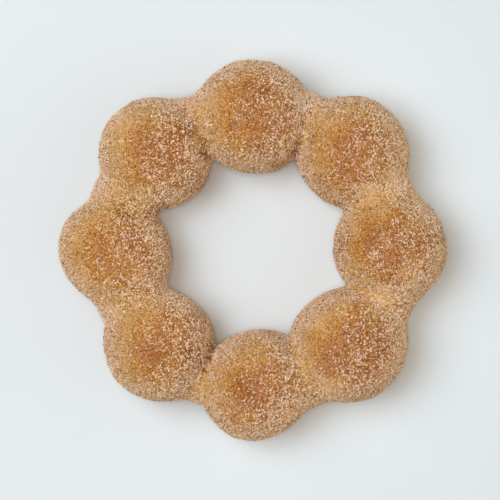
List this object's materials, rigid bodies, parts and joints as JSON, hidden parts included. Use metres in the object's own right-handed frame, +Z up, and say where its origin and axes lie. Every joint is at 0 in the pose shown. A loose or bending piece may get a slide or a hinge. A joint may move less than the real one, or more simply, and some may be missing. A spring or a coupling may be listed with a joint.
{
  "type": "mochi doughnut",
  "caption": "Fried ring doughnut of soft dough balls joined at narrow necks round an open middle, coated in cinnamon sugar; rests on small flat spots.",
  "frame": {"origin": "middle of the doughnut's outline, on the surface it rests on", "axes": "+Z up out of the table, through the hole; +X towards the first ball; +Y towards the third ball, a quarter turn anticlockwise from it"},
  "size_m": [0.095, 0.0928, 0.0259],
  "materials": {
    "fried_dough": "golden brown fried crust under a dull coat of fine sugar and cinnamon"
  },
  "bodies": {
    "root": {"mochi_doughnut": "fried_dough"}
  },
  "joints": []
}
